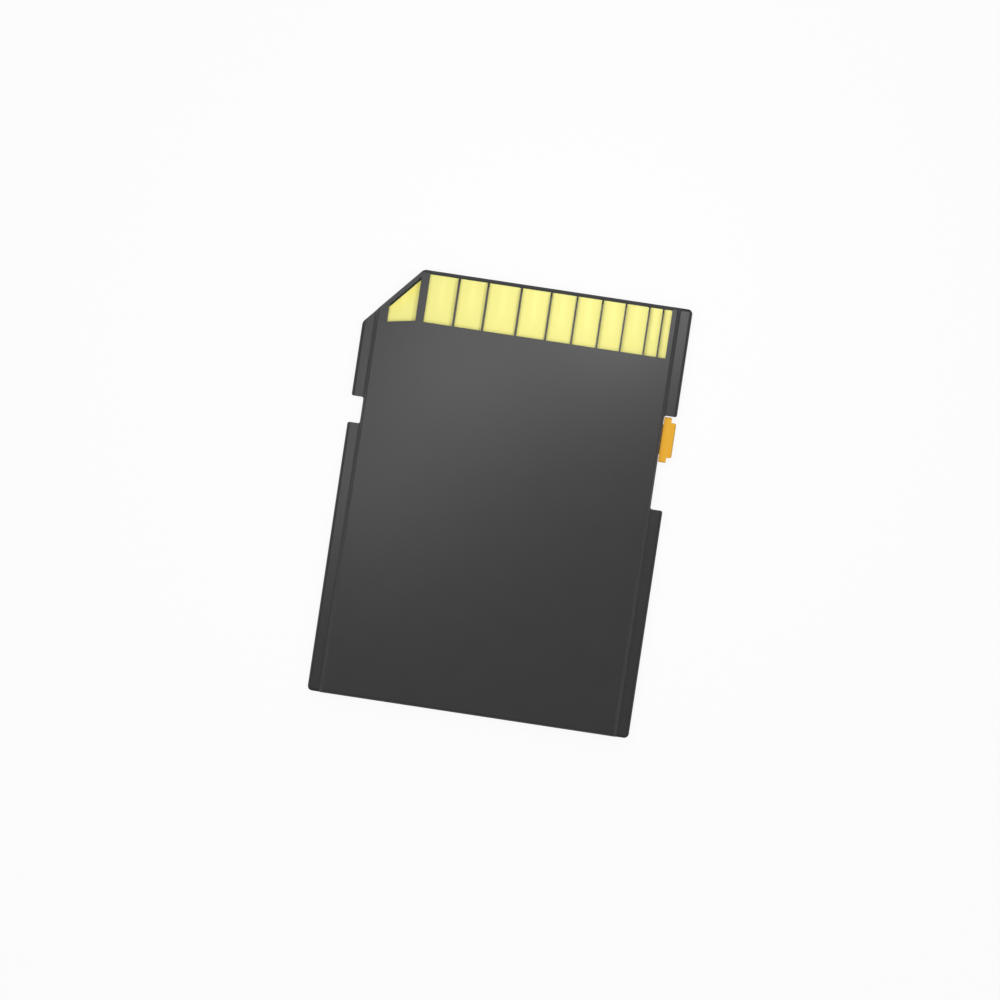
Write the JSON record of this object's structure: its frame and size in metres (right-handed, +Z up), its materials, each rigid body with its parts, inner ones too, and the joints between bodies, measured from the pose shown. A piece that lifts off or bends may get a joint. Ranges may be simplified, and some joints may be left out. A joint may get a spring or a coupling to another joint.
{
  "type": "memory card",
  "caption": "Full-size flash memory card with two welded covers, recessed gold contacts, a keyed corner and a sliding write protect switch.",
  "frame": {"origin": "centre of the card's outline, on the plane of the label side that it lies on", "axes": "+Y towards the contact end, +X across the card to the side of the write protect switch, +Z up from the label side to the contact side"},
  "size_m": [0.024, 0.032, 0.0021],
  "materials": {
    "shell": "fine matt moulded, dark grey",
    "contact": "pale gold plate, satin",
    "board": "green solder resist",
    "chip": "moulded black package",
    "switch": "satin moulded, orange yellow",
    "capacitor": "fired ceramic",
    "resistor": "coated ceramic"
  },
  "bodies": {
    "card": {"front_cover": "shell", "rear_cover": "shell", "circuit_board": "board", "memory_chip": "chip", "controller_chip": "chip", "contact_1": "contact", "contact_2": "contact", "contact_3": "contact", "contact_4": "contact", "contact_5": "contact", "contact_6": "contact", "contact_7": "contact", "contact_8": "contact", "contact_9": "contact", "contact_10": "contact", "contact_11": "contact", "capacitor_1": "capacitor", "capacitor_2": "capacitor", "capacitor_3": "capacitor", "capacitor_4": "capacitor", "resistor_1": "resistor", "resistor_2": "resistor", "resistor_3": "resistor", "resistor_4": "resistor"},
    "switch": {"write_protect_switch": "switch"}
  },
  "joints": [
    {"name": "switch_slide", "type": "slide", "parent": "card", "child": "switch", "axis": [0, -1, 0], "range_m": [0, 0.00346]}
  ]
}
